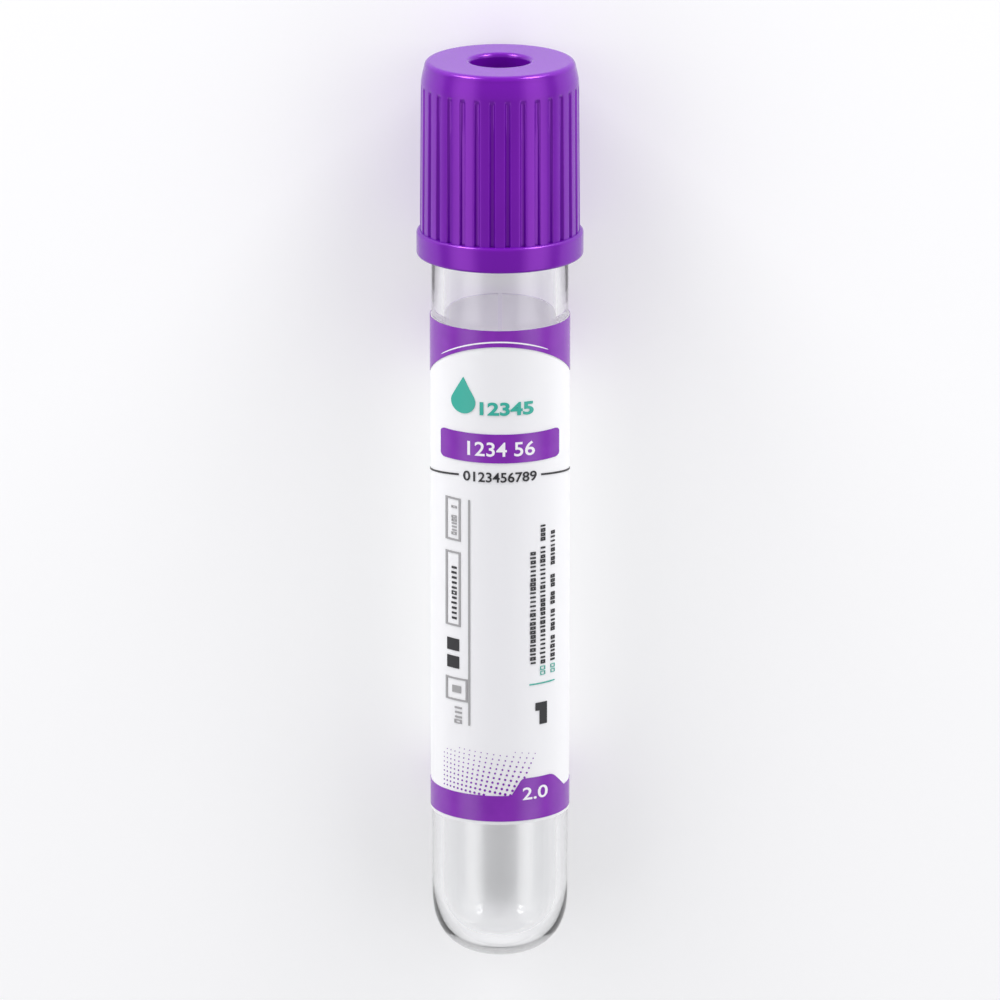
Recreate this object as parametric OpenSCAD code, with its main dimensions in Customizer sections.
// Blood collection tube: a clear round-bottomed tube with a wrapped paper label, closed by a ribbed
// pull-off cap that holds a rubber stopper. Millimetres. The tube lies on its side as it comes to
// rest, on the rim of its collar and on its round bottom: cap towards +Y, front of the label up.

/* [Tube] */
// Outer diameter of the tube
tube_d = 12; // [11:0.1:16]
// Length from the rim to the round bottom
tube_len = 75; // [70:1:110]
// Thickness of the tube's wall
tube_wall = 1; // [0.7:0.1:1.5]
// Thickness of the bottom on the axis
tube_floor = 1.4; // [0.8:0.1:3]
// Radius of the two edges of the rim
rim_round = 0.3; // [0.1:0.05:0.35]

/* [Cap] */
// How far the skirt reaches down over the tube
skirt_reach = 11.2; // [9:0.1:16]
// Thickness of the skirt at the plain band and behind the grooves
skirt_wall = 0.5; // [0.4:0.05:1.5]
// Thickness of the top disc
disc_t = 2; // [1.2:0.1:4]
// Rounding of the top edge
top_round = 0.5; // [0.2:0.05:1]
// Height of the plain band above the ribs
band_h = 2; // [1.5:0.1:4]
// Diameter of the needle hole
hole_d = 5.2; // [4:0.1:7]
// Rounding of the hole's lip
lip_round = 0.4; // [0.1:0.05:0.6]
// Height of the smooth collar
collar_h = 2.3; // [1.5:0.1:4]
// How far the collar stands out from the plain band
collar_out = 0.7; // [0.5:0.05:1.5]
// Rounding of the collar's outer edges
collar_round = 0.3; // [0.1:0.05:0.5]
// Rounding of the skirt's mouth inside
mouth_round = 0.2; // [0.05:0.05:0.3]

/* [Ribs] */
// Number of ribs
rib_count = 32; // [16:1:40]
// How far the ribs stand out at their upper end
rib_out = 0.29; // [0.15:0.01:0.45]
// What draft adds to the ribs at their lower end
rib_draft = 0.12; // [0:0.01:0.2]
// Width of the groove between two ribs, at its floor
groove_w = 0.33; // [0.2:0.01:0.6]
// What the sloping sides add to the groove's width further out
groove_flare = 0.2; // [0:0.01:0.3]

/* [Stopper] */
// Thickness of the stopper's head, between the rim and the disc
head_t = 4.1; // [3:0.05:7]
// Length of the plug in the tube's mouth
plug_len = 6.5; // [5:0.1:10]
// Rounding of the plug's lower edge
plug_round = 0.6; // [0.2:0.1:1]
// Diameter of the well in the plug's lower end
well_d = 5.4; // [3:0.1:6.4]
// Depth of the well
well_depth = 5; // [3:0.1:7]
// Diameter of the dimple under the needle hole
dimple_d = 5; // [3:0.1:6]
// Depth of the dimple
dimple_depth = 1.4; // [0.5:0.1:2]

/* [Fits] */
// Clearance round the plug in the tube
plug_clear = 0.05; // [0.02:0.01:0.1]
// Clearance round the tube in the skirt
skirt_clear = 0.1; // [0.05:0.05:0.2]
// Gap between the rim and the stopper's head
seat_clear = 0.05; // [0:0.01:0.2]
// Gap round the stopper's head in the cap
head_clear = 0.02; // [0.01:0.01:0.05]
// Gap between the stopper's head and the disc above it
disc_clear = 0.05; // [0:0.01:0.2]

/* [Label] */
// Height of the label
label_h = 45; // [42:0.5:50]
// Thickness of the label
label_t = 0.1; // [0.06:0.01:0.2]
// Height of the label's lower edge above the bottom of the tube
label_up = 13.4; // [9:0.1:14]
// Width of the gap between the label's side edges, down the back of the tube
label_gap = 0.4; // [0.2:0.1:8]

/* [Print] */
// Thickness of the print
ink_t = 0.05; // [0.03:0.01:0.1]
// Thickness of the fine rules and outlines
rule_t = 0.16; // [0.1:0.01:0.3]
// Distance from the label's upper edge to the top of the arch
arch_down = 1.45; // [0.8:0.05:3]
// How far the arch comes down on its way from the front to the sides of the tube
arch_fall = 3.9; // [2:0.1:6]
// Distance from the top of the arch down to the tip of the drop
emblem_gap = 2.9; // [2:0.1:4]
// Height of the drop
drop_h = 3.3; // [2.8:0.1:4]
// Diameter of the drop's round end
drop_d = 2.1; // [1.4:0.1:2.4]
// Distance from the middle of the label to the drop
drop_x = 3.2; // [3:0.1:4]
// Length of the bar beside the drop
emblem_bar_w = 5.1; // [3:0.1:6]
// Height of the bar beside the drop
emblem_bar_h = 1.2; // [0.6:0.1:1.6]
// Distance from the drop down to the title box
title_gap = 1.7; // [1.2:0.1:3]
// Width of the title box
title_w = 10.3; // [7:0.1:10.8]
// Height of the title box
title_h = 2.6; // [1.5:0.1:3.5]
// Corner radius of the title box
title_round = 0.35; // [0.1:0.05:0.6]
// Distance from the title box down to the middle of the line below it
line_gap = 1.3; // [1:0.1:2.5]
// Length of the dark bar in that line
line_bar_w = 6.4; // [4:0.1:7]
// Height of the dark bar
line_bar_h = 0.9; // [0.5:0.05:1.2]
// Distance from that line down to the two columns
column_gap = 2.2; // [1.6:0.1:3]
// Height of the left column with its upright rule
column_h = 20.6; // [19.5:0.1:22]
// Distance from the middle of the label to the upright rule
rule_x = 2.7; // [2:0.1:3]
// Width of the boxes beside the upright rule
box_w = 1.3; // [0.8:0.1:1.6]
// Heights of the two boxes and of the solid mark below them
box_hs = [3.9, 6.8, 3];
// Distance between the boxes
box_gap = 1; // [0.5:0.1:1.5]
// Gap between a printed shape and the next one beside it
side_gap = 0.4; // [0.2:0.05:0.6]
// Number of rows of small print in the right column
row_count = 3; // [1:1:3]
// Height of a row of small print
row_h = 0.48; // [0.3:0.02:0.6]
// Distance from one row to the next
row_pitch = 0.83; // [0.75:0.01:0.95]
// Distance from the block up to the rows
row_gap = 3.5; // [3:0.1:5]
// Length of the rows
row_len = 11.8; // [8:0.1:13]
// Distance from the middle of the label to the first row
row_x = 2.85; // [2:0.05:3]
// Width of the block below the rows
block_w = 1.05; // [0.6:0.05:1.5]
// Height of the block
block_h = 2; // [1:0.1:3]
// Width of the short rule above the block
short_rule_w = 2.2; // [1:0.1:2.6]
// White paper left under the lower band
foot_margin = 0.3; // [0:0.05:1]
// Height of the lower band
foot_h = 2.35; // [1.5:0.05:3.5]
// Height of the tab on the lower band
tab_h = 1.5; // [0.8:0.1:2]
// Width of the tab's flat top
tab_w = 2.7; // [1.5:0.1:3.2]
// Width of the slope on each side of the tab
tab_slope = 0.95; // [0.3:0.05:1.2]
// Distance from the middle of the label to the middle of the tab
tab_x = 3.3; // [0:0.1:3.6]

/* [Hidden] */
$fn = 128;
bite = 0.2;      // overlap that joins two solids, or that a cut reaches past one
groove_cut = 1;  // how far the groove's cut reaches past the plain band

tube_r = tube_d / 2;
tube_in = tube_r - tube_wall;
skirt_in = tube_r + skirt_clear;
cap_r = skirt_in + skirt_wall;
collar_r = cap_r + collar_out;
rib_root = cap_r - skirt_wall / 2;
hole_r = hole_d / 2;
plug_r = tube_in - plug_clear;
head_r = skirt_in - head_clear;

// Places along the tube's axis, from its round bottom
cap_low = tube_len - skirt_reach;
head_low = tube_len + seat_clear;
head_top = head_low + head_t;
disc_low = head_top + disc_clear;
cap_top = disc_low + disc_t;
collar_top = cap_low + collar_h;
ribs_top = cap_top - band_h;
label_top = label_up + label_h;
label_r = tube_r + label_t;
label_wrap = 360 - label_gap / label_r * 180 / PI;

// Places of the print, down from the label's upper edge and up from its lower edge
arch_top = label_top - arch_down;
arch_side = arch_top - arch_fall;
drop_low = arch_top - emblem_gap - drop_h;
title_top = drop_low - title_gap;
line_y = title_top - title_h - line_gap;
column_top = line_y - column_gap;
column_low = column_top - column_h;
block_top = column_low + block_h;
rows_low = block_top + row_gap;
foot_top = label_up + foot_margin + foot_h;

// The tube rests on its round bottom and on the lower edge of the collar, which tilts it a little
lean_a = cap_low + collar_round - tube_r;
lean_b = collar_r - collar_round;
lean = acos((tube_r - collar_round) / norm([lean_a, lean_b])) - atan2(lean_a, lean_b);
low_y = tube_r * cos(lean) - tube_r;
high_y = (cap_top - top_round) * cos(lean) + (cap_r - top_round) * sin(lean) + top_round;
rest_y = -(low_y + high_y) / 2;
rest_z = tube_r - tube_r * sin(lean);

// Lays down what is drawn upright, with the middle of the bounding box's base at the origin
module laid_down()
    translate([0, rest_y, rest_z]) rotate([lean - 90, 0, 0]) children();

// What is taken off a profile's corner at [x, y] to round it; sx and sy point out of the corner
module corner_cut(x, y, r, sx = 1, sy = 1)
    translate([x - sx * r, y - sy * r])
        difference() {
            translate([sx > 0 ? 0 : -r - bite, sy > 0 ? 0 : -r - bite]) square(r + bite);
            circle(r);
        }

// Half of a round-ended shape: radius r, from the tip of its end at y = low up to y = high
module bullet_profile(r, low, high) {
    translate([0, low + r]) square([r, high - low - r]);
    intersection() {
        translate([0, low + r]) circle(r);
        translate([0, low]) square([r, r + bite]);
    }
}

// ---- Tube ----

module tube()
    color([0.9, 0.93, 0.95, 0.4]) laid_down() rotate_extrude()
        difference() {
            bullet_profile(tube_r, 0, tube_len);
            bullet_profile(tube_in, tube_floor, tube_len + bite);
            corner_cut(tube_r, tube_len, rim_round);
            corner_cut(tube_in, tube_len, rim_round, -1);
        }

// ---- Cap ----

module cap_profile()
    difference() {
        union() {
            translate([0, cap_low]) square([cap_r, cap_top - cap_low]);
            translate([0, cap_low]) square([collar_r, collar_h]);
        }
        translate([0, cap_low - bite]) square([skirt_in, disc_low - cap_low + bite]);
        translate([-bite, disc_low - bite]) square([hole_r + bite, disc_t + 2 * bite]);
        corner_cut(hole_r, cap_top, lip_round, -1);
        corner_cut(cap_r, cap_top, top_round);
        corner_cut(collar_r, collar_top, collar_round);
        corner_cut(collar_r, cap_low, collar_round, 1, -1);
        corner_cut(skirt_in, cap_low, mouth_round, -1, -1);
    }

// The ring that the ribs are cut from: it widens downwards, and over the ribs it narrows to the rounded edge
module rib_ring()
    rotate_extrude() polygon([
        [rib_root, collar_top - collar_round - bite],
        [cap_r + rib_out + rib_draft, collar_top - collar_round - bite],
        [cap_r + rib_out + rib_draft, collar_top],
        [cap_r + rib_out, ribs_top],
        [cap_r, cap_top - top_round],
        [rib_root, cap_top - top_round]]);

module groove() {
    low = collar_top - collar_round - 2 * bite;
    translate([0, 0, low]) linear_extrude(ribs_top - low)
        polygon([
            [rib_root - bite, -groove_w / 2],
            [cap_r, -groove_w / 2],
            [cap_r + groove_cut, -groove_w / 2 - groove_flare],
            [cap_r + groove_cut, groove_w / 2 + groove_flare],
            [cap_r, groove_w / 2],
            [rib_root - bite, groove_w / 2]]);
}

module ribs()
    difference() {
        rib_ring();
        for (i = [0 : rib_count - 1]) rotate(90 + (i + 0.5) * 360 / rib_count) groove();
    }

module cap_shell()
    color([0.4, 0.09, 0.62]) laid_down() {
        rotate_extrude() cap_profile();
        ribs();
    }

module stopper() {
    ball_r = (pow(dimple_d / 2, 2) + pow(dimple_depth, 2)) / (2 * dimple_depth);
    color([0.2, 0.12, 0.26]) laid_down() rotate_extrude()
        difference() {
            union() {
                translate([0, head_low]) square([head_r, head_t]);
                translate([0, head_low - plug_len]) square([plug_r, plug_len + bite]);
            }
            intersection() {
                translate([0, head_top + ball_r - dimple_depth]) circle(ball_r);
                translate([0, head_top - dimple_depth - bite]) square([ball_r, dimple_depth + 2 * bite]);
            }
            mirror([0, 1]) translate([0, -head_low])
                bullet_profile(well_d / 2, plug_len - well_depth, plug_len + bite);
            corner_cut(plug_r, head_low - plug_len, plug_round, 1, -1);
        }
}

// ---- Label ----

// A sheet wrapped round the tube between two heights, with its gap at the back
module wrap(r, t, low, high)
    rotate(90 + (360 - label_wrap) / 2) rotate_extrude(angle = label_wrap)
        translate([r, low]) square([t, high - low]);

module label()
    color([0.95, 0.95, 0.96]) laid_down() wrap(tube_r, label_t, label_up, label_top);

// ---- Print: flat shapes carried straight back onto the front of the label ----
// x runs to the right from the middle of the label, y upwards from the bottom of the tube

module printed()
    intersection() {
        difference() {
            cylinder(h = label_top, r = label_r + ink_t);
            translate([0, 0, -bite]) cylinder(h = label_top + 2 * bite, r = label_r);
        }
        rotate([90, 0, 0]) linear_extrude(tube_d) children();
    }

module bar(x, y, w, h) translate([x - w / 2, y - h / 2]) square([w, h]);

module outline(x, y, w, h)
    difference() {
        bar(x, y, w, h);
        bar(x, y, w - 2 * rule_t, h - 2 * rule_t);
    }

module round_box(x, y, w, h, r) {
    bar(x, y, w - 2 * r, h);
    bar(x, y, w, h - 2 * r);
    for (sx = [-1, 1], sy = [-1, 1]) translate([x + sx * (w / 2 - r), y + sy * (h / 2 - r)]) circle(r);
}

// The upper band: its lower edge is an arch cut at a slant in front, and runs level round the back
module top_band()
    difference() {
        wrap(label_r, ink_t, arch_side - bite, label_top);
        translate([-tube_d, 0, 0]) rotate([90, 0, 90]) linear_extrude(2 * tube_d) polygon([
            [-2 * label_r, arch_side + 2 * arch_fall],
            [-2 * label_r, arch_side - 2 * bite],
            [2 * label_r, arch_side - 2 * bite],
            [2 * label_r, arch_side],
            [0, arch_side]]);
    }

// The lower band: a wrapped strip taller than its tab, cut down to the band everywhere but at the tab
module foot_band() {
    half = tab_w / 2;
    difference() {
        wrap(label_r, ink_t, label_up + foot_margin, foot_top + tab_h + bite);
        difference() {
            translate([-tube_d, -tube_d, foot_top]) cube([2 * tube_d, 2 * tube_d, tab_h + 2 * bite]);
            rotate([90, 0, 0]) linear_extrude(tube_d) translate([tab_x, foot_top]) polygon([
                [-half - tab_slope, -bite], [-half - tab_slope, 0], [-half, tab_h],
                [half, tab_h], [half + tab_slope, 0], [half + tab_slope, -bite]]);
        }
    }
}

// A drop with its tip up, standing on y = 0
module drop() {
    r = drop_d / 2;
    side = asin(r / (drop_h - r));
    translate([0, r]) {
        circle(r);
        polygon([[0, 0], [r * cos(side), r * sin(side)], [0, drop_h - r], [-r * cos(side), r * sin(side)]]);
    }
}

module purple_print()
    color([0.45, 0.13, 0.66]) laid_down() {
        top_band();
        printed() round_box(0, title_top - title_h / 2, title_w, title_h, title_round);
        foot_band();
    }

// The line under the title: a bar, and a rule on each side that runs to the side of the tube
module title_line() {
    bar(0, line_y, line_bar_w, line_bar_h);
    for (side = [-1, 1])
        bar(side * (line_bar_w / 2 + side_gap + tube_r), line_y, tube_d, rule_t);
}

// The left column: an upright rule with two outlined boxes and a solid mark beside it
module left_column() {
    bar(-rule_x, column_top - column_h / 2, rule_t, column_h);
    for (i = [0 : 2]) {
        above = i == 0 ? 0 : i == 1 ? box_hs[0] : box_hs[0] + box_hs[1];
        y = column_top - above - i * box_gap - box_hs[i] / 2;
        if (i < 2) outline(-rule_x - side_gap - box_w / 2, y, box_w, box_hs[i]);
        else bar(-rule_x - side_gap - box_w / 2, y, box_w, box_hs[i]);
    }
}

// The right column: rows of small print turned upright, a short rule and a block below them
module right_column() {
    middle = row_x + (row_count - 1) / 2 * row_pitch;
    for (i = [0 : row_count - 1]) bar(row_x + i * row_pitch, rows_low + row_len / 2, row_h, row_len);
    bar(middle, block_top - block_h / 2, block_w, block_h);
}

module dark_print()
    color([0.15, 0.14, 0.16]) laid_down() printed() {
        title_line();
        left_column();
        right_column();
    }

module teal_print()
    color([0.18, 0.68, 0.6]) laid_down() printed() {
        translate([-drop_x, drop_low]) drop();
        bar(drop_d / 2 + side_gap - drop_x + emblem_bar_w / 2, drop_low + emblem_bar_h / 2,
            emblem_bar_w, emblem_bar_h);
        bar(row_x + (row_count - 1) / 2 * row_pitch, (rows_low + block_top) / 2, short_rule_w, rule_t);
    }

tube();
cap_shell();
stopper();
label();
purple_print();
dark_print();
teal_print();
